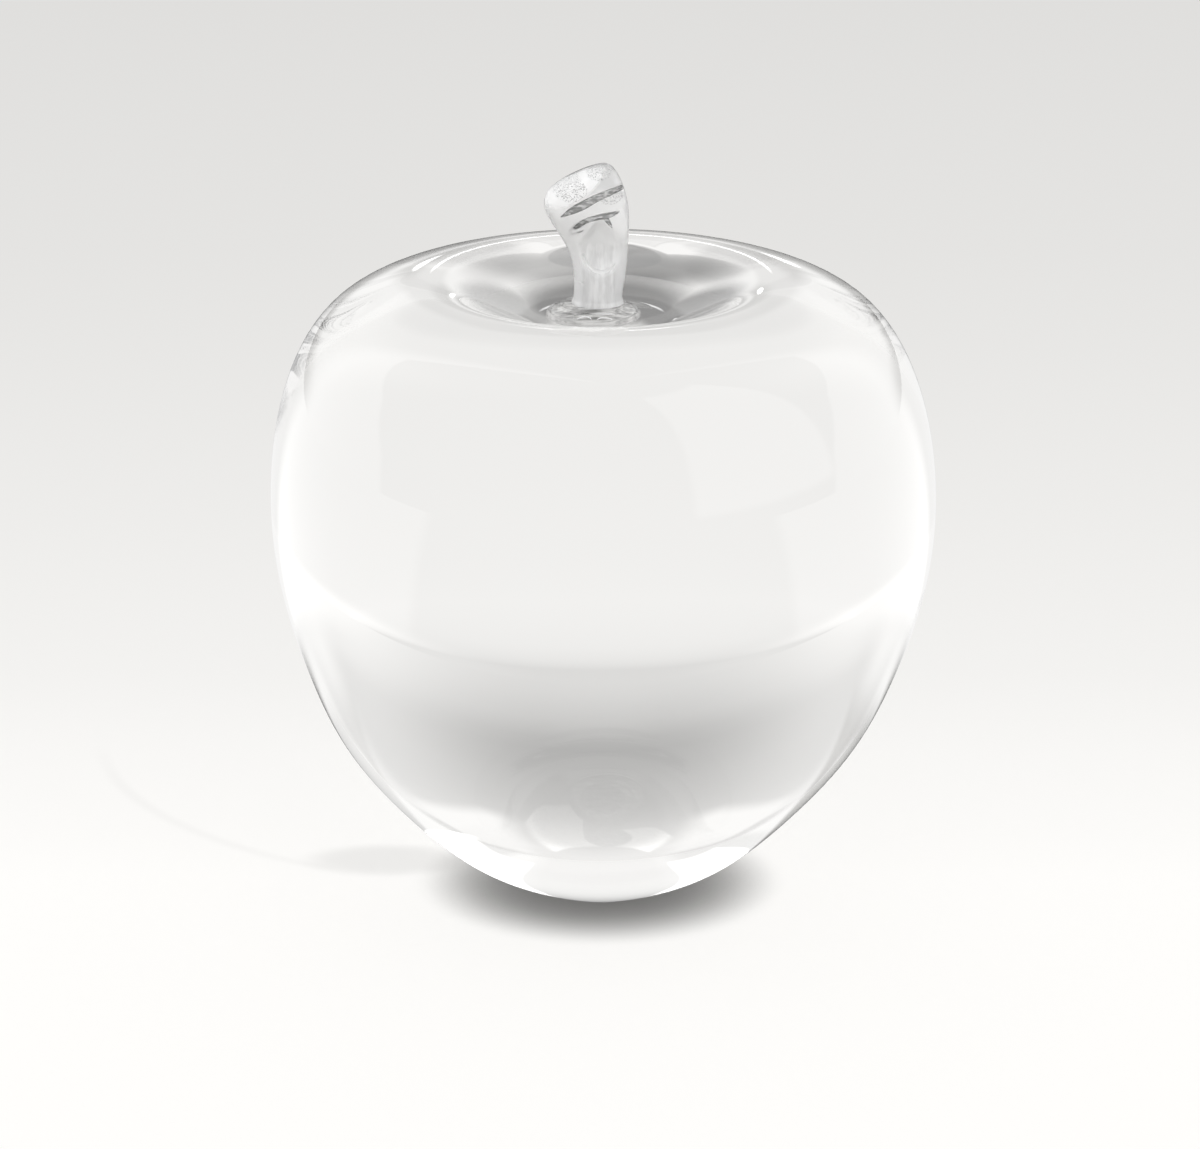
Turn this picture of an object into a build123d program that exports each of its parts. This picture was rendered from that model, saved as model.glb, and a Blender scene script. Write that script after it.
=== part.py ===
from build123d import *
import os
from math import cos, radians, sin

os.makedirs("parts", exist_ok=True)

# Solid clear glass apple: a gathered body, a fused wafer in its dimple and an applied stalk.
# All lengths are in millimetres. The origin is the middle of the flat foot, +Z is up,
# and -Y faces a viewer who sees the stalk lean to the left.

# Body
body_diameter = 89.0
crest_height = 84.8
crest_diameter = 48.4
foot_diameter = 17.0
dimple_depth = 4.9
seat_diameter = 15.2

# Wafer under the stalk
pad_diameter = 12.6
pad_height = 2.0
pad_rim_height = 0.9
pad_drift = -1.0

# Stalk
stem_length = 19.4
stem_head_width = 11.4
stem_foot_diameter = 6.9
stem_foot_drift = 0.5
shear_round = 1.6
shear_drift = -1.1
groove_width = 1.3
groove_depth = 0.4
groove_spacing = 3.3

# Slant of the sheared tip, in degrees
shear_side_tilt = -25.0
shear_front_tilt = 20.0

# Outer outline of the body from the foot to the crest, as the guide points of a smooth curve:
# shares of the body's radius and of the crest's height
side_shares = [
    (0.420, 0.047),
    (0.627, 0.150),
    (0.803, 0.258),
    (0.908, 0.388),
    (0.990, 0.524),
    (1.010, 0.675),
    (0.964, 0.834),
    (0.828, 0.962),
    (0.594, 1.003),
]

# Wall of the dimple from the crest to the seat: shares of the crest's radius and of the dimple's depth
dimple_shares = [
    (0.84, 0.00),
    (0.62, 0.62),
]
seat_approach_share = 1.38

# Stalk sections from the foot up: shares of the length, and of the head's width for the sideways
# place, the width and the depth from front to back
stem_shares = [
    (0.06, 0.050, 0.575, 0.575),
    (0.20, 0.078, 0.600, 0.590),
    (0.33, 0.070, 0.675, 0.640),
    (0.46, 0.022, 0.780, 0.710),
    (0.60, -0.040, 0.910, 0.800),
    (0.72, -0.085, 0.985, 0.850),
    (0.86, -0.105, 1.000, 0.860),
    (1.04, -0.110, 0.980, 0.850),
]
shear_level_share = 0.84

# Path of each tool groove round the head: shares of the head's width, across and front to back
groove_path_shares = (0.475, 0.409)

# Sizes worked out from the ones above
body_radius = body_diameter / 2
crest_radius = crest_diameter / 2
seat_radius = seat_diameter / 2
seat_level = crest_height - dimple_depth
pad_radius = pad_diameter / 2
rim_radius = pad_rim_height / 2
pad_top_level = seat_level + pad_height
pad_top_radius = stem_foot_diameter / 2 + stem_foot_drift
side_angle = radians(shear_side_tilt)
front_angle = radians(shear_front_tilt)


def guide_points():
    """The guide points of the body's outline, from the foot's edge to the seat's edge."""
    points = [Vector(foot_diameter / 2, 0)]
    points += [Vector(r * body_radius, z * crest_height) for r, z in side_shares]
    points += [Vector(r * crest_radius, crest_height - z * dimple_depth) for r, z in dimple_shares]
    points.append(Vector(seat_radius * seat_approach_share, seat_level))
    points.append(Vector(seat_radius, seat_level))
    before = points[0] * 2 - points[1]
    after = points[-1] * 2 - points[-2]
    return [before] + points + [after]


def outline_spans(points):
    """The control points of each cubic span of the smooth curve that the guide points steer."""
    spans = []
    for p0, p1, p2, p3 in zip(points, points[1:], points[2:], points[3:]):
        start = (p0 + p1 * 4 + p2) / 6
        end = (p1 + p2 * 4 + p3) / 6
        spans.append([start, (p1 * 2 + p2) / 3, (p1 + p2 * 2) / 3, end])
    return spans


# Body: one revolved section with a flat foot and a flat seat in the dimple
with BuildPart() as apple_body:
    with BuildSketch(Plane.XZ):
        with BuildLine():
            for span in outline_spans(guide_points()):
                Bezier(*span)
            Polyline((seat_radius, seat_level), (0, seat_level), (0, 0), (foot_diameter / 2, 0))
        make_face()
    revolve(axis=Axis.Z)
apple_body.part.label = "apple_body"
export_step(apple_body.part, "parts/apple_body.step")

# Wafer: flat underneath, with a rounded rim and a low cone that ends flat where the stalk stands
rim_start = (pad_radius - rim_radius, 0)
rim_end = (pad_radius - rim_radius, pad_rim_height)
with BuildPart() as stem_pad:
    with BuildSketch(Plane.XZ.shift_origin((pad_drift, 0, seat_level))):
        with BuildLine():
            Line((0, 0), rim_start)
            ThreePointArc(rim_start, (pad_radius, rim_radius), rim_end)
            Polyline(rim_end, (pad_top_radius, pad_height), (0, pad_height), (0, 0))
        make_face()
    revolve(axis=Axis((pad_drift, 0, 0), (0, 0, 1)))
stem_pad.part.label = "stem_pad"
export_step(stem_pad.part, "parts/stem_pad.step")

# Stalk: lofted through level ellipses, sheared off along a slanted plane, rounded there,
# with two grooves round the head that follow the slant
shear_level = pad_top_level + stem_length * shear_level_share
shear_normal = Vector(sin(side_angle), -sin(front_angle), cos(side_angle) * cos(front_angle))
shear_direction = Vector(cos(side_angle), 0, -sin(side_angle))
groove_radius = groove_width / 2
path_across_share, path_through_share = groove_path_shares
path_across = stem_head_width * path_across_share / cos(side_angle) + groove_radius - groove_depth
path_through = stem_head_width * path_through_share / cos(front_angle) + groove_radius - groove_depth
with BuildPart() as stem:
    with BuildSketch(Plane((pad_drift + stem_foot_drift, 0, pad_top_level))):
        Circle(stem_foot_diameter / 2)
    for level_share, place_share, width_share, depth_share in stem_shares:
        place = pad_drift + stem_head_width * place_share
        level = pad_top_level + stem_length * level_share
        with BuildSketch(Plane((place, 0, level))):
            Ellipse(stem_head_width * width_share / 2, stem_head_width * depth_share / 2)
    loft()
    shear_plane = Plane((pad_drift + shear_drift, 0, shear_level), z_dir=shear_normal)
    split(bisect_by=shear_plane, keep=Keep.BOTTOM)
    fillet(stem.faces().sort_by(Axis.Z)[-1].edges(), shear_round)
    for drop in (groove_spacing / 2, groove_spacing * 3 / 2):
        groove_centre = (pad_drift + shear_drift, 0, shear_level - drop)
        with BuildLine(Plane(groove_centre, x_dir=shear_direction, z_dir=shear_normal)):
            path = EllipticalCenterArc((0, 0), path_across, path_through, start_angle=0, arc_size=360)
        with BuildSketch(Plane(path @ 0, z_dir=path % 0)):
            Circle(groove_radius)
        sweep(mode=Mode.SUBTRACT)
stem.part.label = "stem"
export_step(stem.part, "parts/stem.step")
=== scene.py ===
import math

import bpy
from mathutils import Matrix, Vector


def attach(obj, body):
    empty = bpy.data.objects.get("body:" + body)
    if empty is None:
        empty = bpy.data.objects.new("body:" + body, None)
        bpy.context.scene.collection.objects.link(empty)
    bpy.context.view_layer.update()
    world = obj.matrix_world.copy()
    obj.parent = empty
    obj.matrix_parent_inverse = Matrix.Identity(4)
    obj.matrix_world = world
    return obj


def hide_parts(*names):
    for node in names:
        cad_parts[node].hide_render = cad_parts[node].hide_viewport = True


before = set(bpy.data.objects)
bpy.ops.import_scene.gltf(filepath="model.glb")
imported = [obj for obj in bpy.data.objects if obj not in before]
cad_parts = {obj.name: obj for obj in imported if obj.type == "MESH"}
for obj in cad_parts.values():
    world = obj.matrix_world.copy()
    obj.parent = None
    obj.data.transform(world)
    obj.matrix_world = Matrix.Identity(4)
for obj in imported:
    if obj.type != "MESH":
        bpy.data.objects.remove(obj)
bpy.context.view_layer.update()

MM = 0.001

# Body outline, the same guide rings as the solid: foot, side, crest, dimple and seat
BODY_RADIUS = 44.5 * MM
CREST_HEIGHT = 84.8 * MM
CREST_RADIUS = 24.2 * MM
FOOT_RADIUS = 8.5 * MM
SEAT_RADIUS = 7.6 * MM
DIMPLE_DEPTH = 4.9 * MM
SEAT_LEVEL = CREST_HEIGHT - DIMPLE_DEPTH
SIDE_SHARES = [
    (0.420, 0.047),
    (0.627, 0.150),
    (0.803, 0.258),
    (0.908, 0.388),
    (0.990, 0.524),
    (1.010, 0.675),
    (0.964, 0.834),
    (0.828, 0.962),
    (0.594, 1.003),
]
DIMPLE_SHARES = [
    (0.84, 0.00),
    (0.62, 0.62),
]
SEAT_APPROACH_SHARE = 1.38
ROUND_SIDES = 48
SMOOTHING_LEVELS = 3

# Hand-made lopsidedness: how many mm the body leans to the right at these shares of its height
LEANS = [
    (0.0, 0.0),
    (0.10, -0.25),
    (0.20, -0.20),
    (0.33, 0.15),
    (0.45, 0.38),
    (0.65, 0.33),
    (0.80, 0.20),
    (0.93, 0.08),
    (1.0, 0.0),
]

# Wafer in the dimple; it and the stalk were set down a little left of the middle
WAFER_DRIFT = -1.0 * MM
WAFER_RADIUS = 6.3 * MM
WAFER_RIM = 0.9 * MM
WAFER_HEIGHT = 2.0 * MM
STALK_SOCKET_RADIUS = 4.0 * MM
FUSED = 0.05 * MM

# Stalk: each ring goes from its left end to its right end (x, z), with its depth from front to back, in mm
STALK_SIDES = 32
STALK_RINGS = [
    ((-3.95, 81.85), (3.05, 81.85), 7.0),
    ((-3.85, 82.20), (2.95, 82.20), 6.8),
    ((-3.60, 82.70), (2.78, 82.70), 6.4),
    ((-3.56, 84.60), (3.08, 84.40), 6.5),
    ((-3.60, 86.30), (3.35, 86.30), 6.8),
    ((-3.85, 87.90), (3.54, 88.30), 7.2),
    ((-4.45, 89.40), (3.65, 90.50), 7.8),
    ((-5.28, 90.95), (3.72, 92.50), 8.4),
    ((-6.20, 92.30), (3.68, 94.20), 8.9),
    ((-6.95, 93.50), (3.50, 95.70), 9.2),
    ((-7.50, 94.80), (3.20, 97.10), 9.2),
    ((-7.55, 95.90), (2.75, 98.40), 9.0),
    ((-7.20, 96.90), (2.15, 99.60), 8.4),
    ((-6.30, 97.80), (1.45, 100.55), 7.0),
    ((-4.60, 98.80), (0.40, 101.05), 4.0),
]

# Where the shears cut the stalk off: the way the cut faces, where it begins, and its grain
CUT_NORMAL = Vector((-0.50, -0.38, 0.78)).normalized()
CUT_START = 93 * MM
CUT_FACING = 0.45
CUT_FACING_FADE = 0.4
GRAIN_SIZE = 0.30 * MM
GRAIN_DEPTH = 0.04 * MM

# Hollow pressed into the front of the stalk, in mm: it narrows above its wide level
HOLLOW_X = -0.1
HOLLOW_Z = 90.3
HOLLOW_HALF_WIDTH = 3.1
HOLLOW_HALF_HEIGHT = 4.4
HOLLOW_WIDE_LEVEL = 90
HOLLOW_NARROWING = 0.33
HOLLOW_DEPTH = 0.95 * MM

# Marks that the jacks left across the front, with shade painted dark grey in them: points (x, y, z, radius)
# in mm
JACK_MARKS = [
    [(-5.3, -3.5, 94.5, 0.06), (-4.5, -4.0, 95.1, 0.34), (-3.4, -4.45, 95.8, 0.56), (-2.1, -4.6, 96.5, 0.60),
     (-0.7, -4.3, 97.25, 0.52), (0.9, -3.55, 97.75, 0.46), (2.2, -2.2, 97.95, 0.40), (3.0, -0.6, 97.9, 0.30)],
    [(-4.1, -3.0, 92.6, 0.08), (-3.7, -3.5, 93.0, 0.34), (-3.0, -4.0, 93.5, 0.46), (-2.0, -4.5, 94.3, 0.36),
     (-0.7, -4.5, 94.65, 0.36), (0.6, -4.2, 94.8, 0.44), (1.7, -3.6, 94.9, 0.32), (2.8, -2.6, 95.2, 0.06)],
    [(-4.3, -2.8, 91.9, 0.05), (-3.2, -3.9, 92.4, 0.22), (-2.3, -4.3, 92.9, 0.05)],
    [(0.5, -4.2, 94.8, 0.30), (1.0, -4.05, 93.9, 0.44), (1.5, -3.7, 93.1, 0.08)],
]

# Glass folded over round the lower end of the hollow and at the foot, with their bright lines painted white
FOLDS = [
    [(-2.5, -2.9, 90.3, 0.05), (-2.4, -2.8, 89.3, 0.20), (-2.1, -2.85, 88.3, 0.24), (-1.5, -2.95, 87.4, 0.26),
     (-0.6, -3.1, 86.9, 0.26), (0.4, -3.1, 86.85, 0.26), (1.3, -2.9, 87.2, 0.24), (1.8, -2.75, 87.9, 0.10)],
    [(-1.75, -2.7, 85.3, 0.05), (-1.75, -2.65, 84.6, 0.16), (-1.75, -2.55, 83.6, 0.06)],
    [(-3.0, -1.9, 85.2, 0.04), (-2.6, -2.3, 85.35, 0.14), (-2.2, -2.6, 85.3, 0.05)],
]

# Folds on the front of the wafer, their bright lines painted white
WAFER_FOLDS = [
    [(-3.3, -5.2, 80.85, 0.05), (-3.1, -4.5, 80.98, 0.14), (-2.2, -4.15, 81.10, 0.15),
     (-1.4, -4.5, 81.02, 0.14), (-1.2, -5.2, 80.93, 0.05)],
    [(-0.6, -5.3, 80.92, 0.05), (-0.4, -4.7, 81.0, 0.14), (0.6, -4.35, 81.0, 0.15),
     (1.5, -4.6, 80.9, 0.14), (1.7, -5.2, 80.85, 0.05)],
    [(-3.6, -3.6, 81.0, 0.05), (-2.0, -3.9, 81.35, 0.12), (-0.5, -4.05, 81.4, 0.16),
     (1.0, -3.7, 81.3, 0.12), (2.2, -3.2, 81.1, 0.05)],
    [(-3.6, -4.4, 80.95, 0.10), (-3.7, -4.1, 80.97, 0.05)],
    [(2.6, -4.2, 80.9, 0.16), (2.9, -4.0, 80.9, 0.05)],
]

# Seeds of air trapped at the foot of the stalk
SEEDS = [
    (-2.6, -1.6, 82.45, 0.16), (-1.9, -2.3, 82.25, 0.20), (-1.2, -2.6, 82.60, 0.14),
    (-0.5, -2.8, 82.25, 0.22), (0.2, -2.7, 82.65, 0.15), (0.8, -2.5, 82.30, 0.20),
    (1.5, -2.1, 82.55, 0.14), (2.0, -1.5, 82.30, 0.18), (-0.9, -2.2, 83.30, 0.12),
    (0.9, -1.9, 83.45, 0.14), (-2.0, -1.5, 83.20, 0.10), (0.1, -1.2, 84.60, 0.12),
]
SHARP_EDGE = math.radians(40)

# Finishes
GLASS_INDEX = 1.52
# Painted shade: grey in the body glass round the wafer, for the dark seen through the dimple: its tone,
# lowest level, clear middle and patches
DIMPLE_SHADE_TONE = 0.08
DIMPLE_SHADE_LOWEST = 78 * MM
DIMPLE_SHADE_CLEAR_RADIUS = WAFER_RADIUS - 0.9 * MM
DIMPLE_SHADE_PATCHES = [
    (0.5, 5.0, 14, 11.5, 1.0),
    (11.5, -0.5, 9, 8.5, 0.95),
    (-12, 0, 8, 9, 0.75),
    (-20, 16, 12, 8, 0.32),
    (18, 12, 8, 7, 0.3),
]
SPECK_PATCHES = [
    (-4.2, 98.2, 2.8, 1.8),
    (-0.2, 100.3, 2.2, 1.1),
    (1.5, 96.9, 1.8, 0.8),
]
SPECK_TONE = 0.38
# Painted shade: the dark and light greys of the wafer's streaks
WAFER_SHADE_TONES = (0.22, 0.80)
WAFER_RIM_TONE = 0.95
STALK_MILK = 0.45
FOOT_MILK = (0.68, 0.92)
FOOT_EDGE_MILK = 0.9
CUT_MILK = (0.80, 0.96)
CUT_ROUGHNESS = 0.35
# Painted shade in the jack marks: grey tones along their lines
JACK_SHADE_TONES = [(0.0, 0.12), (0.40, 0.24), (0.52, 0.38), (0.62, 0.78), (1.0, 0.9)]

# Camera: seen from 18 degrees above the horizon
FRAME_WIDTH = 1200
CAMERA_DISTANCE = 1.0
CAMERA_ELEVATION = math.radians(18)
CAMERA_TARGET = Vector((-0.13 * MM, 0, 43.8 * MM))
FOCAL_PIXELS = 7440
SENSOR_WIDTH = 36

# Light runs a long way inside solid glass before it gets out
LIGHT_BOUNCES = 48

# Floor: its tones from front to back, as the camera sees it and as the glass bends it
PAPER_WARMTH = (1.0, 0.991, 0.973)
FLOOR_SIZE = 8
SWEEP_TONES = [
    (0.0, 1.0), (0.085, 1.0), (0.12, 0.975), (0.17, 0.945), (0.23, 0.896),
    (0.36, 0.847), (0.52, 0.80), (0.62, 0.776), (1.0, 0.73),
]
BENT_FLOOR_TONES = [
    (0.0, 0.85), (0.06, 0.85), (0.15, 0.865), (0.22, 0.88),
    (0.30, 0.865), (0.42, 0.845), (0.62, 0.79), (0.9, 0.69),
]
CAUSTIC_SMEAR = (-29.5 * MM, 8 * MM, 14 * MM, 8 * MM)
CAUSTIC_CENTRE = (-8 * MM, 61.6 * MM)
CAUSTIC_RADIUS = 64 * MM
SMEAR_DARKNESS = 0.13
LINE_DARKNESS = 0.04
SHADOW_REACH = 8.5 * MM
SHADOW_TONE = 0.09
SHADOW_SHARE = 0.85

# Studio tones from low to high, in front of and behind the camera
WALL_TONES = [
    (0.0, 0.72), (0.045, 0.66), (0.09, 0.57), (0.125, 0.46), (0.148, 0.43), (0.19, 0.45), (0.25, 0.50),
    (0.33, 0.55), (0.39, 0.61), (0.46, 0.70), (0.53, 0.77), (0.62, 0.86), (0.78, 0.82), (1.0, 0.80),
]
SIDE_WALL_TONES = [
    (0.0, 0.95), (0.06, 0.92), (0.11, 0.86), (0.16, 0.76), (0.20, 0.73), (0.28, 0.705),
    (0.40, 0.685), (0.48, 0.70), (0.55, 0.80), (0.61, 0.93), (0.66, 0.60), (1.0, 0.56),
]
ROOM_TONES = [(0.0, 0.90), (0.11, 0.92), (0.18, 1.02), (0.70, 1.02), (0.78, 0.93), (1.0, 0.92)]

# Lower edge of the ceiling panel round the studio, and the reach of the soft boxes, in hundreds of degrees
PANEL_EDGE = [(0.0, 0.46), (0.15, 0.48), (0.5, 0.40), (0.90, 0.37), (1.0, 0.40)]
BOX_REACH = [(0.0, 1.18), (0.3, 1.05), (0.45, 0.98), (0.6, 0.94), (0.8, 0.80), (1.0, 0.50)]
BOX_MIDDLE = -2.5

# Small lamps that glint on the dimple and its rim: azimuth, elevation, half width, half height, strength
LAMPS = [(-4, 11, 1.2, 2.0, 4), (5, 6, 1.5, 1.5, 4), (0, 18, 1.2, 1.5, 3)]

# How bright the studio is: to plain surfaces, through the glass, and mirrored on it
PLAIN_LIGHT = 1.05
EVEN_LIGHT = 0.97
WHITE_SHEET = 0.98
PALE_CEILING = 0.92
SIDE_LEVEL = 0.946
SIDE_GLOW = 0.43
PANEL_LEVEL = 2.3
PANEL_LEVEL_TURNED = 3.8
MIRRORED_WALL = 0.92
MIRRORED_LOW_WALL = 0.10
MIRRORED_SIDES = 0.95
MIRRORED_FLOOR = 0.93
MIRRORED_DARK_FLOOR = 0.08
SIDE_BOX = 1.65
FRONT_BOX = 1.6
FLOOR_BOX = 1.6


def deselect():
    if bpy.context.object and bpy.context.object.mode != "OBJECT":
        bpy.ops.object.mode_set(mode="OBJECT")
    bpy.ops.object.select_all(action="DESELECT")


def take_up(piece):
    """Makes the piece the only selected one and the active one."""
    deselect()
    bpy.context.view_layer.objects.active = piece
    piece.select_set(True)


def apply_modifier(piece, kind, **settings):
    modifier = piece.modifiers.new(kind.lower(), kind)
    for key, value in settings.items():
        setattr(modifier, key, value)
    bpy.ops.object.modifier_apply(modifier=modifier.name)


def start_rings(name, sides, radius, centre):
    """A filled circle in edit mode, the first ring of a piece that grows by extruding its cap.

    It is drawn wider than the radius by as much as smoothing will draw it in."""
    deselect()
    radius /= (4 + 2 * math.cos(2 * math.pi / sides)) / 6
    bpy.ops.mesh.primitive_circle_add(vertices=sides, radius=radius, fill_type="NGON", location=centre)
    piece = bpy.context.object
    piece.name = name
    bpy.ops.object.transform_apply(location=True, rotation=True, scale=True)
    bpy.ops.object.mode_set(mode="EDIT")
    bpy.ops.mesh.select_all(action="SELECT")
    return piece


def grow(step):
    """Extrudes the selected cap by that step."""
    bpy.ops.mesh.extrude_region_move(TRANSFORM_OT_translate={"value": step})


def resize(across, through, centre):
    bpy.ops.transform.resize(value=(across, through, 1), center_override=centre)


def turn(angle, axis, centre):
    bpy.ops.transform.rotate(value=math.radians(-angle), orient_axis=axis, center_override=centre)


def grow_rings(rings, sideways):
    """Grows the cap through (radius, height) rings, whose middles stand at sideways(height)."""
    for (r0, z0), (r1, z1) in zip(rings, rings[1:]):
        grow((sideways(z1) - sideways(z0), 0, z1 - z0))
        resize(r1 / r0, r1 / r0, (sideways(z1), 0, z1))


def crease_rings(piece, rings):
    """Creases the level rings of edges at these (radius, height) places."""
    same_level = 0.01 * MM
    near_radius = 2 * MM
    bpy.ops.mesh.select_all(action="DESELECT")
    bpy.ops.object.mode_set(mode="OBJECT")
    verts = piece.data.vertices
    for edge in piece.data.edges:
        a, b = (verts[i].co for i in edge.vertices)
        edge.select = any(
            abs(a.z - level) < same_level and abs(b.z - level) < same_level
            and abs(Vector((a.x, a.y)).length - radius) < near_radius
            for radius, level in rings
        )
    bpy.ops.object.mode_set(mode="EDIT")
    bpy.ops.transform.edge_crease(value=1)


def finish_rings(piece, finish):
    """Leaves edit mode and smooths the closed piece."""
    bpy.ops.mesh.select_all(action="SELECT")
    bpy.ops.mesh.normals_make_consistent(inside=False)
    bpy.ops.object.mode_set(mode="OBJECT")
    piece.data.materials.append(finish)
    apply_modifier(piece, "SUBSURF", levels=SMOOTHING_LEVELS, render_levels=SMOOTHING_LEVELS)
    bpy.ops.object.shade_smooth()


def carve(piece, cutter):
    """Takes the cutter out of the piece, whose cut faces keep the cutter's finish, and removes the cutter."""
    take_up(piece)
    settings = {"operation": "DIFFERENCE", "solver": "EXACT", "material_mode": "TRANSFER"}
    apply_modifier(piece, "BOOLEAN", object=cutter, **settings)
    bpy.data.objects.remove(cutter)


def tapered_path(points, finish):
    """A round path through points (x, y, z, radius) in mm, made a mesh."""
    deselect()
    bpy.ops.curve.primitive_nurbs_path_add(location=(0, 0, 0))
    path = bpy.context.object
    path.data.splines.clear()
    spline = path.data.splines.new("NURBS")
    spline.points.add(len(points) - 1)
    for point, (x, y, z, radius) in zip(spline.points, points):
        point.co = (x * MM, y * MM, z * MM, 1)
        point.radius = radius
    spline.use_endpoint_u = True
    spline.order_u = 3
    path.data.resolution_u = 10
    path.data.bevel_depth = 1 * MM
    path.data.bevel_resolution = 5
    path.data.use_fill_caps = True
    bpy.ops.object.convert(target="MESH")
    path = bpy.context.object
    path.data.materials.clear()
    path.data.materials.append(finish)
    return path


def round_punch(centre, radius, finish):
    """A ball with that centre and radius, in mm."""
    deselect()
    bpy.ops.mesh.primitive_uv_sphere_add(segments=64, ring_count=40, radius=1, location=(0, 0, 0))
    punch = bpy.context.object
    punch.scale = [radius * MM] * 3
    punch.location = [place * MM for place in centre]
    bpy.ops.object.transform_apply(location=True, rotation=True, scale=True)
    punch.data.materials.append(finish)
    return punch


def lean(level):
    """How far right the middle of the body stands at that level."""
    share = min(max(level / CREST_HEIGHT, 0), 1)
    for (low, start), (high, end) in zip(LEANS, LEANS[1:]):
        if share <= high:
            return (start + (end - start) * (share - low) / (high - low)) * MM


def wafer_place(level):
    return WAFER_DRIFT


def ring_place(ring):
    """Middle, width, depth and sideways tilt of a stalk ring."""
    (left_x, left_z), (right_x, right_z), depth = ring
    middle = Vector(((left_x + right_x) / 2 * MM, 0, (left_z + right_z) / 2 * MM))
    width = math.hypot(right_x - left_x, right_z - left_z) * MM
    return middle, width, depth * MM, math.degrees(math.atan2(right_z - left_z, right_x - left_x))


class Nodes:
    """Small helper that adds and links shader nodes in one tree."""

    def __init__(self, tree, keep=False):
        self.tree = tree
        if not keep:
            tree.nodes.clear()

    def add(self, kind, inputs=(), **settings):
        node = self.tree.nodes.new(kind)
        for key, value in settings.items():
            setattr(node, key, value)
        for socket, value in dict(inputs).items():
            if isinstance(value, bpy.types.NodeSocket):
                self.tree.links.new(value, node.inputs[socket])
            else:
                node.inputs[socket].default_value = value
        return node

    def math(self, operation, *values):
        return self.add("ShaderNodeMath", dict(enumerate(values)), operation=operation).outputs[0]

    def product(self, first, *others):
        for other in others:
            first = self.math("MULTIPLY", first, other)
        return first

    def place(self):
        """The spot on the piece, in its own measure."""
        return self.add("ShaderNodeTexCoord").outputs["Object"]

    def split(self, vector):
        parts = self.add("ShaderNodeSeparateXYZ", {0: vector}).outputs
        return parts["X"], parts["Y"], parts["Z"]

    def smooth(self, value, low, high, start=0.0, end=1.0):
        """Goes smoothly from start to end as the value goes from low to high."""
        inputs = {"Value": value, "From Min": low, "From Max": high, "To Min": start, "To Max": end}
        return self.add("ShaderNodeMapRange", inputs, interpolation_type="SMOOTHSTEP").outputs[0]

    def window(self, value, rise, fall):
        """1 between two soft edges, each given as its outer and its inner end."""
        return self.product(self.smooth(value, *rise), self.smooth(value, *fall))

    def spread(self, x, y, centre_x, centre_y, radius_x, radius_y):
        """0 at the centre of an ellipse, 1 at its edge, and more outside."""
        across = self.math("POWER", self.math("DIVIDE", self.math("SUBTRACT", x, centre_x), radius_x), 2)
        along = self.math("POWER", self.math("DIVIDE", self.math("SUBTRACT", y, centre_y), radius_y), 2)
        return self.math("ADD", across, along)

    def ellipse(self, x, y, *shape):
        """1 at the centre of a soft ellipse and 0 from its edge on."""
        return self.smooth(self.spread(x, y, *shape), 0, 1, 1.0, 0.0)

    def distance(self, x, y, centre_x, centre_y):
        return self.math("SQRT", self.spread(x, y, centre_x, centre_y, 1, 1))

    def mix(self, share, first, second):
        inputs = {0: share, 2: first, 3: second}
        return self.add("ShaderNodeMix", inputs, data_type="FLOAT").outputs[0]

    def noise(self, place, scale, detail):
        inputs = {"Vector": place, "Scale": scale, "Detail": detail}
        return self.add("ShaderNodeTexNoise", inputs).outputs[0]

    def tones(self, value, low, high, points):
        """Grey tones at (share, tone) points, where the value goes from low to high."""
        share = self.add("ShaderNodeMapRange", {"Value": value, "From Min": low, "From Max": high}).outputs[0]
        node = self.add("ShaderNodeValToRGB", {0: share})
        stops = node.color_ramp.elements
        stops[0].position = points[0][0]
        stops[1].position = points[-1][0]
        for position, _ in points[1:-1]:
            stops.new(position)
        for stop, (_, tone) in zip(stops, points):
            stop.color = (tone, tone, tone, 1)
        return node.outputs[0]

    def warm(self, tone):
        """The tone with the faint warmth of the studio paper."""
        inputs = {0: PAPER_WARMTH, "Scale": tone}
        return self.add("ShaderNodeVectorMath", inputs, operation="SCALE").outputs[0]

    def degrees(self, value):
        return self.math("MULTIPLY", value, 180 / math.pi)

    def azimuth(self, x, y):
        """Degrees to the right of straight behind."""
        return self.degrees(self.math("ARCTAN2", x, y))

    def by_ray(self, path, kind, others, chosen):
        """The chosen shader for that kind of ray, and the other one for all others."""
        inputs = {0: path.outputs[kind], 1: others.outputs[0], 2: chosen.outputs[0]}
        return self.add("ShaderNodeMixShader", inputs)


def glass_of(name, transmission=1.0, roughness=0.0):
    material = bpy.data.materials.new(name)
    material.use_nodes = True
    shader = material.node_tree.nodes["Principled BSDF"]
    shader.inputs["Base Color"].default_value = (1, 1, 1, 1)
    shader.inputs["Transmission Weight"].default_value = transmission
    shader.inputs["Roughness"].default_value = roughness
    shader.inputs["IOR"].default_value = GLASS_INDEX
    return material


def plug(material, socket, value):
    material.node_tree.links.new(value, material.node_tree.nodes["Principled BSDF"].inputs[socket])


def ripple(material, stretch, scale, depth):
    """A faint fire-polished ripple: noise of that scale, stretched along the axes, as bump of that depth.

    Gives the material's nodes and the stretched place."""
    n = Nodes(material.node_tree, keep=True)
    spot = n.add("ShaderNodeMapping", {0: n.place(), "Scale": stretch}).outputs[0]
    wave = n.noise(spot, scale, 2.0)
    bump = n.add("ShaderNodeBump", {"Strength": 1.0, "Distance": depth, "Height": wave})
    plug(material, "Normal", bump.outputs[0])
    return n, spot


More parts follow.
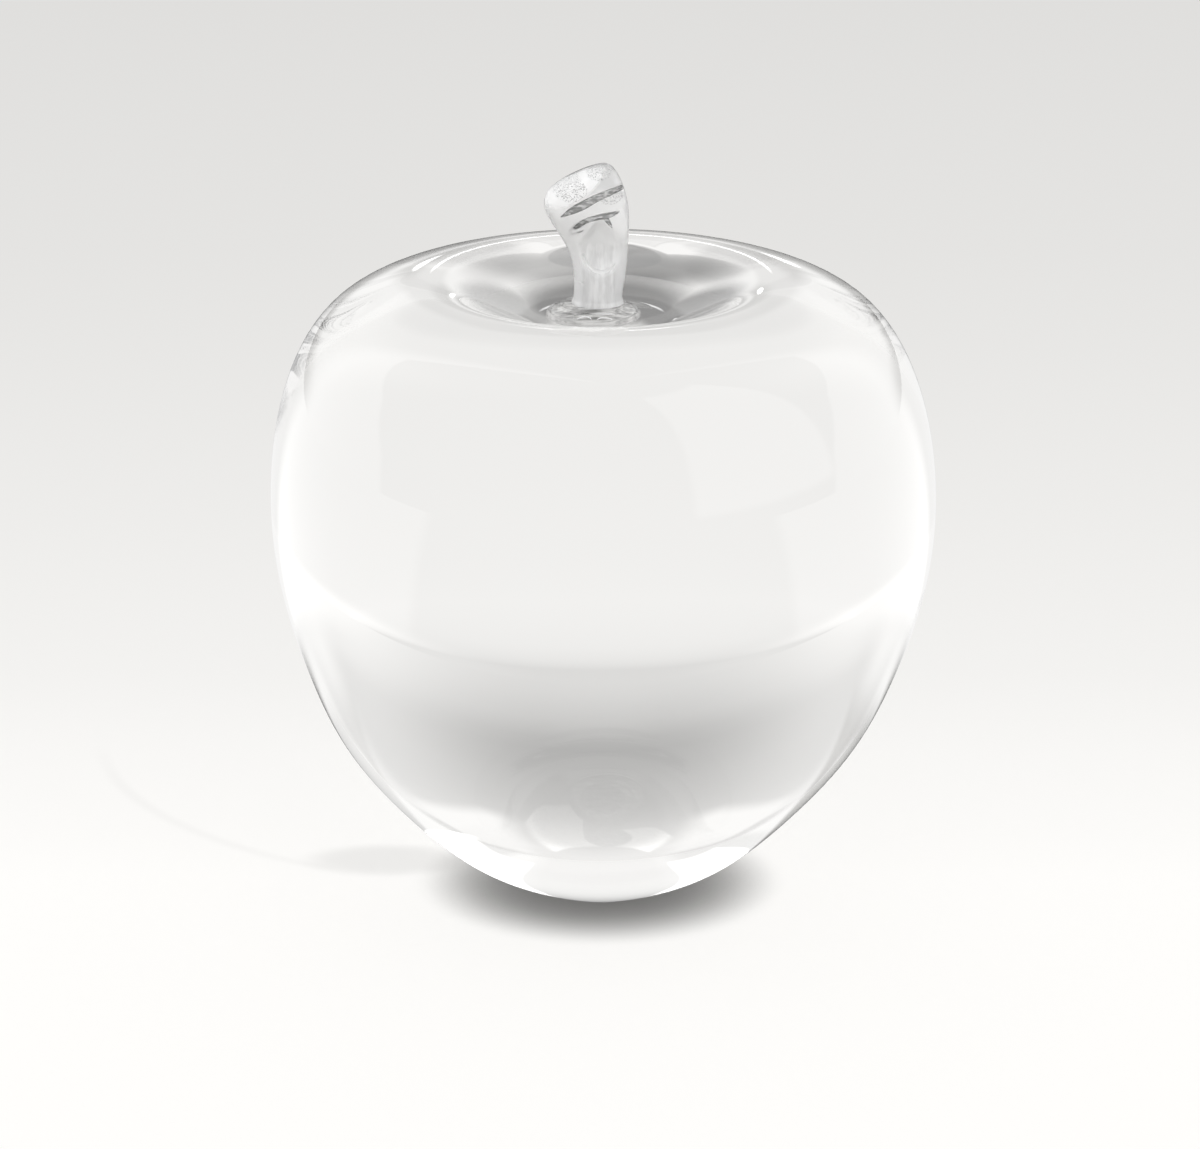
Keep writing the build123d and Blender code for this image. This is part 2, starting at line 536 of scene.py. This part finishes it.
# Camera
camera_data = bpy.data.cameras.new("camera")
camera = bpy.data.objects.new("camera", camera_data)
bpy.context.scene.collection.objects.link(camera)
back = Vector((0, -math.cos(CAMERA_ELEVATION), math.sin(CAMERA_ELEVATION)))
camera.location = CAMERA_TARGET + back * CAMERA_DISTANCE
camera.rotation_euler = (math.radians(90) - CAMERA_ELEVATION, 0, 0)
camera_data.sensor_width = SENSOR_WIDTH
camera_data.lens = FOCAL_PIXELS * SENSOR_WIDTH / FRAME_WIDTH
bpy.context.scene.camera = camera
bpy.context.scene.view_settings.view_transform = "Standard"
bpy.context.scene.cycles.max_bounces = LIGHT_BOUNCES
bpy.context.scene.cycles.transmission_bounces = LIGHT_BOUNCES
bpy.context.scene.cycles.glossy_bounces = LIGHT_BOUNCES

# Body glass: clear, with grey shade painted into the dimple round the wafer
body_glass = glass_of("clear_glass")
n = Nodes(body_glass.node_tree, keep=True)
x, y, z = n.split(n.place())
dimple_shade = 0.0
for *shape, strength in DIMPLE_SHADE_PATCHES:
    spread = n.spread(x, y, *[v * MM for v in shape])
    dimple_shade = n.math("MAXIMUM", dimple_shade, n.smooth(spread, 1, 0.35, 0.0, strength))
from_wafer = n.distance(x, y, WAFER_DRIFT, 0)
clear_edge = n.smooth(from_wafer, DIMPLE_SHADE_CLEAR_RADIUS - 0.5 * MM, DIMPLE_SHADE_CLEAR_RADIUS + 0.5 * MM)
dimple_shade = n.product(dimple_shade, clear_edge, n.smooth(z, DIMPLE_SHADE_LOWEST - 2 * MM, DIMPLE_SHADE_LOWEST))
plug(body_glass, "Base Color", n.mix(dimple_shade, 1.0, DIMPLE_SHADE_TONE))

# Wafer glass: grey shade painted in streaks inside a clear rim
wafer_glass = glass_of("wafer_glass")
n, _ = ripple(wafer_glass, (1, 1, 1), 400, 0.006 * MM)
drawn_out = n.add("ShaderNodeMapping", {0: n.place(), "Scale": (0.3, 1, 1)}).outputs[0]
streaks = n.smooth(n.noise(drawn_out, 1100, 2.0), 0.35, 0.62, *WAFER_SHADE_TONES)
x, y, z = n.split(n.place())
rim = n.smooth(n.distance(x, y, WAFER_DRIFT, 0), 5.2 * MM, 5.6 * MM)
plug(wafer_glass, "Base Color", n.mix(rim, streaks, WAFER_RIM_TONE))

# Stalk glass: milky, with drawn streaks near its foot, frosted and speckled where it was cut off
stalk_glass = glass_of("tooled_glass")
n, drawn_out = ripple(stalk_glass, (1, 1, 0.16), 900, 0.02 * MM)
place = n.place()
x, y, z = n.split(place)
along_cut = n.add("ShaderNodeVectorMath", {0: place, 1: CUT_NORMAL}, operation="DOT_PRODUCT").outputs["Value"]
cut_share = n.smooth(along_cut, 77.8 * MM, 79.2 * MM)
foot_share = n.smooth(z, 95 * MM, 87 * MM)
edge_share = n.smooth(n.math("ABSOLUTE", n.math("SUBTRACT", x, -0.35 * MM)), 1.9 * MM, 2.9 * MM)
streaks = n.noise(drawn_out, 1600, 3.0)
foot_milk = n.mix(edge_share, n.smooth(streaks, 0.3, 0.7, *FOOT_MILK), FOOT_EDGE_MILK)
milk = n.math("MAXIMUM", n.product(foot_share, foot_milk), STALK_MILK)
milk = n.math("MAXIMUM", milk, n.product(cut_share, n.smooth(streaks, 0.3, 0.7, *CUT_MILK)))
plug(stalk_glass, "Transmission Weight", n.math("SUBTRACT", 1.0, milk))
plug(stalk_glass, "Roughness", n.product(cut_share, CUT_ROUGHNESS))
speck_share = 0.0
for patch in SPECK_PATCHES:
    spread = n.ellipse(x, z, *[v * MM for v in patch])
    speck_share = n.math("MAXIMUM", speck_share, n.smooth(spread, 0.0, 0.4))
speck_share = n.product(speck_share, n.smooth(n.noise(place, 6000, 2.0), 0.48, 0.66))
plug(stalk_glass, "Base Color", n.mix(speck_share, 1.0, SPECK_TONE))

# Shade painted dark grey along the marks of the jacks, in fine lines
jack_groove_shade = glass_of("jack_groove_shade", transmission=0.35, roughness=0.35)
n, drawn_out = ripple(jack_groove_shade, (0.35, 0.6, 1.6), 1500, 0.05 * MM)
plug(jack_groove_shade, "Base Color", n.tones(n.noise(drawn_out, 2600, 3.0), 0, 1, JACK_SHADE_TONES))

# White painted into the folds as a highlight, where the glass was folded over on itself
fold_glint_white = glass_of("fold_glint_white", transmission=0.1, roughness=0.3)
ripple(fold_glint_white, (1, 1, 1), 1200, 0.02 * MM)

# Body
body_rings = [(FOOT_RADIUS, 0)]
body_rings += [(r * BODY_RADIUS, z * CREST_HEIGHT) for r, z in SIDE_SHARES]
body_rings += [(r * CREST_RADIUS, CREST_HEIGHT - z * DIMPLE_DEPTH) for r, z in DIMPLE_SHARES]
body_rings += [(SEAT_RADIUS * SEAT_APPROACH_SHARE, SEAT_LEVEL), (SEAT_RADIUS, SEAT_LEVEL)]
body = start_rings("apple_body_glass", ROUND_SIDES, FOOT_RADIUS, (0, 0, 0))
grow_rings(body_rings, lean)
crease_rings(body, [body_rings[0], body_rings[-1]])
finish_rings(body, body_glass)
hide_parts("apple_body")
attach(body, "root")

# Wafer: how far in from its edge, and how high above its seat, each ring stands, in rim heights
WAFER_RIM_SHARES = [
    (0.0, 0.1),
    (-0.05, 0.5),
    (0.15, 0.95),
    (0.45, 1.05),
    (0.7, 0.85),
    (1.1, 1.05),
    (1.8, 1.15),
    (2.35, 1.4),
]
wafer_rings = [(WAFER_RADIUS - WAFER_RIM * 0.45, SEAT_LEVEL - FUSED)]
wafer_rings += [(WAFER_RADIUS - WAFER_RIM * r, SEAT_LEVEL + WAFER_RIM * z) for r, z in WAFER_RIM_SHARES]
wafer_rings += [
    (STALK_SOCKET_RADIUS, SEAT_LEVEL + WAFER_HEIGHT * 0.85),
    (STALK_SOCKET_RADIUS - 0.1 * MM, SEAT_LEVEL + WAFER_HEIGHT),
]
wafer = start_rings("stem_pad_glass", ROUND_SIDES, wafer_rings[0][0], (WAFER_DRIFT, 0, wafer_rings[0][1]))
grow_rings(wafer_rings, wafer_place)
crease_rings(wafer, [wafer_rings[0], wafer_rings[-1]])
finish_rings(wafer, wafer_glass)
for fold in WAFER_FOLDS:
    carve(wafer, tapered_path(fold, fold_glint_white))
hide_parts("stem_pad")
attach(wafer, "root")

# Stalk
middle, width, depth, tilt = ring_place(STALK_RINGS[0])
stalk = start_rings("stem_glass", STALK_SIDES, width / 2, middle)
resize(1, depth / width, middle)
for ring in STALK_RINGS[1:]:
    next_middle, next_width, next_depth, next_tilt = ring_place(ring)
    grow(next_middle - middle)
    turn(tilt, "Y", next_middle)
    resize(next_width / width, next_depth / depth, next_middle)
    turn(-next_tilt, "Y", next_middle)
    middle, width, depth, tilt = next_middle, next_width, next_depth, next_tilt
crease_rings(stalk, [(STALK_RINGS[0][2] / 2 * MM, STALK_RINGS[0][0][1] * MM)])
finish_rings(stalk, stalk_glass)

# Rough grain where the shears cut the gather off
grain_group = stalk.vertex_groups.new(name="sheared")
for vertex in stalk.data.vertices:
    facing = vertex.normal.dot(CUT_NORMAL)
    if vertex.co.z > CUT_START and facing > CUT_FACING:
        grain_group.add([vertex.index], min(1, (facing - CUT_FACING) / CUT_FACING_FADE), "REPLACE")
grain = bpy.data.textures.new("shear_grain", "CLOUDS")
grain.noise_scale = GRAIN_SIZE
grain.noise_depth = 1
grain_settings = {"texture": grain, "texture_coords": "LOCAL", "strength": GRAIN_DEPTH}
apply_modifier(stalk, "DISPLACE", vertex_group="sheared", **grain_settings)

# Drop-shaped hollow pressed softly into the front
hollow_group = stalk.vertex_groups.new(name="hollow")
for vertex in stalk.data.vertices:
    x, y, z = vertex.co / MM
    half_width = HOLLOW_HALF_WIDTH - HOLLOW_NARROWING * max(z - HOLLOW_WIDE_LEVEL, 0)
    inside = 1 - ((x - HOLLOW_X) / half_width) ** 2 - ((z - HOLLOW_Z) / HOLLOW_HALF_HEIGHT) ** 2
    if y < 0 and inside > 0:
        hollow_group.add([vertex.index], inside ** 2 * (3 - 2 * inside), "REPLACE")
apply_modifier(stalk, "DISPLACE", mid_level=0, strength=-HOLLOW_DEPTH, vertex_group="hollow")

# Marks of the jacks, folds and seeds
for mark in JACK_MARKS:
    carve(stalk, tapered_path(mark, jack_groove_shade))
for fold in FOLDS:
    carve(stalk, tapered_path(fold, fold_glint_white))
for *centre, radius in SEEDS:
    carve(stalk, round_punch(centre, radius, stalk_glass))
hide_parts("stem")
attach(stalk, "root")

for piece in (stalk, wafer):
    take_up(piece)
    bpy.ops.object.shade_smooth_by_angle(angle=SHARP_EDGE)

# Floor: what the camera sees directly is a pale sweep with the shadow of the apple, and faint marks of
# the light that the glass throws on it
deselect()
bpy.ops.mesh.primitive_plane_add(size=FLOOR_SIZE)
floor = bpy.context.object
floor.name = "floor"
floor_material = bpy.data.materials.new("pale_sweep")
floor_material.use_nodes = True
floor.data.materials.append(floor_material)
n = Nodes(floor_material.node_tree)
path = n.add("ShaderNodeLightPath")
x, y, z = n.split(n.add("ShaderNodeNewGeometry").outputs["Position"])
away = n.distance(x, y, 0, 0)
bearing = n.math("ABSOLUTE", n.azimuth(x, y))

smear = n.smooth(n.ellipse(x, y, *CAUSTIC_SMEAR), 0.0, 1.0, 0.0, SMEAR_DARKNESS)
off_line = n.math("ABSOLUTE", n.math("SUBTRACT", n.distance(x, y, *CAUSTIC_CENTRE), CAUSTIC_RADIUS))
line = n.smooth(off_line, 1.8 * MM, 0.0, 0.0, LINE_DARKNESS)
line_ends = n.window(x, (-34 * MM, -42 * MM), (-76 * MM, -66 * MM))
line = n.product(line, line_ends, n.smooth(y, 62 * MM, 45 * MM))
sweep = n.product(n.tones(y, -0.05, 0.55, SWEEP_TONES), n.math("SUBTRACT", 1.0, n.math("ADD", smear, line)))
sweep = n.warm(sweep)
openness = n.add("ShaderNodeAmbientOcclusion", {"Distance": SHADOW_REACH}, samples=24).outputs["AO"]
shade = n.smooth(openness, 0.0, 0.92, SHADOW_TONE, 1.0)
lit = n.add("ShaderNodeBsdfDiffuse", {"Color": sweep})
shaded = n.add("ShaderNodeEmission", {"Color": sweep, "Strength": shade})
seen = n.add("ShaderNodeMixShader", {0: SHADOW_SHARE, 1: lit.outputs[0], 2: shaded.outputs[0]})

# The same floor bent by the glass: its tones curve towards the sides, and painted shadow darkens it close
# under the apple and in a patch behind its foot
beside_middle = n.math("SUBTRACT", n.math("SQRT", n.math("ADD", n.math("POWER", x, 2), 0.01)), 0.1)
reach = n.math("SUBTRACT", y, n.math("MULTIPLY", beside_middle, 1.2))
bent_tone = n.tones(reach, 0.05, 1.1, BENT_FLOOR_TONES)
# Painted shadow close under the apple, darker to its left
painted_contact_shadow = n.product(n.smooth(x, -12 * MM, 12 * MM, 0.36, 0.58), n.smooth(y, 0, 8 * MM, 1.0, 1.45))
painted_contact_shadow = n.mix(n.smooth(away, 15 * MM, 30 * MM), painted_contact_shadow, 1.0)
painted_shadow_core = n.ellipse(x, y, 0, 50 * MM, 11 * MM, 16 * MM)
near_lift = n.smooth(away, 75 * MM, 110 * MM, 0.06, 0.0)
near_lift = n.product(n.smooth(n.math("ABSOLUTE", x), 3 * MM, 25 * MM), near_lift)
far_lift = n.product(n.smooth(bearing, 5, 24), n.smooth(away, 0.7, 1.6), 0.13)
bent_level = n.product(
    painted_contact_shadow,
    n.math("MULTIPLY_ADD", painted_shadow_core, -0.08, 1.0),
    n.math("ADD", near_lift, 1.0),
    n.math("ADD", far_lift, 1.0),
)
bent = n.add("ShaderNodeEmission", {"Color": n.warm(bent_tone), "Strength": bent_level})

# The floor mirrored on the glass: white soft boxes stand at both sides, it is dark straight behind the
# apple, and painted shadow darkens it close round its foot and just behind it
boxes = n.product(n.window(bearing, (36, 46), (122, 116)), n.smooth(away, 100 * MM, 130 * MM))
plain_floor = n.mix(n.smooth(bearing, 9, 20), MIRRORED_DARK_FLOOR, MIRRORED_FLOOR)
mirror_floor = n.mix(boxes, plain_floor, FLOOR_BOX)
# Painted shadow round the foot
mirror_floor = n.product(mirror_floor, n.smooth(away, 8 * MM, 18 * MM, 0.35, 1.0))
# Painted shadow just behind the foot
painted_shadow_behind = n.product(
    n.smooth(y, 2 * MM, 8 * MM),
    n.smooth(away, 80 * MM, 58 * MM),
    n.smooth(x, -5 * MM, 5 * MM, 0.5, 1.0),
)
straight_behind = n.product(n.smooth(bearing, 55, 38), n.smooth(away, 110 * MM, 80 * MM))
behind = n.math("MAXIMUM", painted_shadow_behind, straight_behind)
mirror_floor = n.mix(behind, mirror_floor, MIRRORED_DARK_FLOOR)
mirrored = n.add("ShaderNodeEmission", {"Strength": mirror_floor})
surface = n.by_ray(path, "Is Transmission Ray", n.by_ray(path, "Is Glossy Ray", seen, mirrored), bent)
n.add("ShaderNodeOutputMaterial", {0: surface.outputs[0]})

# World: even light for the floor, and the studio that the glass bends and mirrors
world = bpy.data.worlds.new("studio")
bpy.context.scene.world = world
world.use_nodes = True
n = Nodes(world.node_tree)
path = n.add("ShaderNodeLightPath")
ray_depth = path.outputs["Ray Depth"]
x, y, z = n.split(n.add("ShaderNodeTexCoord").outputs["Generated"])
azimuth = n.azimuth(x, y)
aside = n.math("ABSOLUTE", azimuth)
elevation = n.degrees(n.math("ARCSINE", z))

# Grey wall behind the apple, lighter to the sides and upwards
wall = n.tones(elevation, -2, 62, WALL_TONES)
wall = n.mix(n.smooth(aside, 6, 42), wall, n.tones(elevation, -2, 62, SIDE_WALL_TONES))
wall = n.mix(n.smooth(aside, 44, 54), wall, n.smooth(elevation, 8, 18, 0.95, 0.80))

# White sheet in front of the wall, with its lower edge rising to the sides, and a pale ceiling
sheet_edge = n.math("MULTIPLY_ADD", n.math("MAXIMUM", n.math("SUBTRACT", aside, 22), 0), 0.4, 22.5)
sheet = n.product(
    n.smooth(n.math("SUBTRACT", elevation, sheet_edge), 0, 5),
    n.smooth(aside, 13, 21),
    n.smooth(elevation, 48, 43),
    n.smooth(n.math("ADD", elevation, aside), 82, 74),
)
wall = n.mix(sheet, wall, WHITE_SHEET)
wall = n.mix(n.product(n.smooth(elevation, 50, 54), n.smooth(aside, 38, 33)), wall, PALE_CEILING)

# White sides of the studio, brightest half way up
side_level = n.math("MULTIPLY_ADD", n.window(elevation, (26, 34), (58, 50)), SIDE_GLOW, SIDE_LEVEL)
around = n.mix(n.smooth(aside, 58, 64), wall, side_level)

# Room behind the camera, with a bright ceiling panel, brighter still to rays that were turned in the glass
room = n.tones(elevation, 0, 90, ROOM_TONES)
panel_edge = n.math("MULTIPLY", n.tones(azimuth, -180, 180, PANEL_EDGE), 100)
panel = n.product(
    n.smooth(n.math("SUBTRACT", elevation, panel_edge), 0, 1.5),
    n.smooth(elevation, 67, 65),
    n.smooth(aside, 130, 138),
)
room = n.mix(panel, room, n.smooth(ray_depth, 2.2, 2.8, PANEL_LEVEL, PANEL_LEVEL_TURNED))
around = n.mix(n.smooth(aside, 92, 98), around, room)

# Light that has run a long way in the glass is even
around = n.mix(n.smooth(ray_depth, 4, 7), around, EVEN_LIGHT)
bent = n.add("ShaderNodeBackground", {"Color": n.warm(around)})

# What the outer surface mirrors: a wall that is dark low down and straight behind, soft boxes at both sides
# and one in front, and small lamps
mirror = n.mix(n.smooth(elevation, 0, 7), MIRRORED_LOW_WALL, MIRRORED_WALL)
gap = n.product(n.window(elevation, (5, 9), (36, 31)), n.smooth(aside, 9, 5))
mirror = n.mix(gap, mirror, n.smooth(elevation, 12, 16, 0.2, 0.5))
mirror = n.mix(n.smooth(aside, 60, 80), mirror, MIRRORED_SIDES)
box_reach = n.math("MULTIPLY", n.tones(elevation, -45, 45, BOX_REACH), 100)
inside_box = n.math("SUBTRACT", box_reach, n.math("ABSOLUTE", n.math("SUBTRACT", azimuth, BOX_MIDDLE)))
mirror = n.mix(n.product(n.smooth(inside_box, 0, 3), n.smooth(aside, 36, 52)), mirror, SIDE_BOX)
front_box = n.product(n.window(azimuth, (90, 94), (150, 146)), n.window(elevation, (2, 5), (72, 68)))
mirror = n.mix(front_box, mirror, FRONT_BOX)
for *shape, strength in LAMPS:
    mirror = n.math("MULTIPLY_ADD", n.ellipse(azimuth, elevation, *shape), strength, mirror)
mirrored = n.add("ShaderNodeBackground", {"Color": mirror})

plain = n.add("ShaderNodeBackground", {"Color": (1, 1, 1, 1), "Strength": PLAIN_LIGHT})
whole = n.by_ray(path, "Is Transmission Ray", n.by_ray(path, "Is Glossy Ray", plain, mirrored), bent)
n.add("ShaderNodeOutputWorld", {0: whole.outputs[0]})
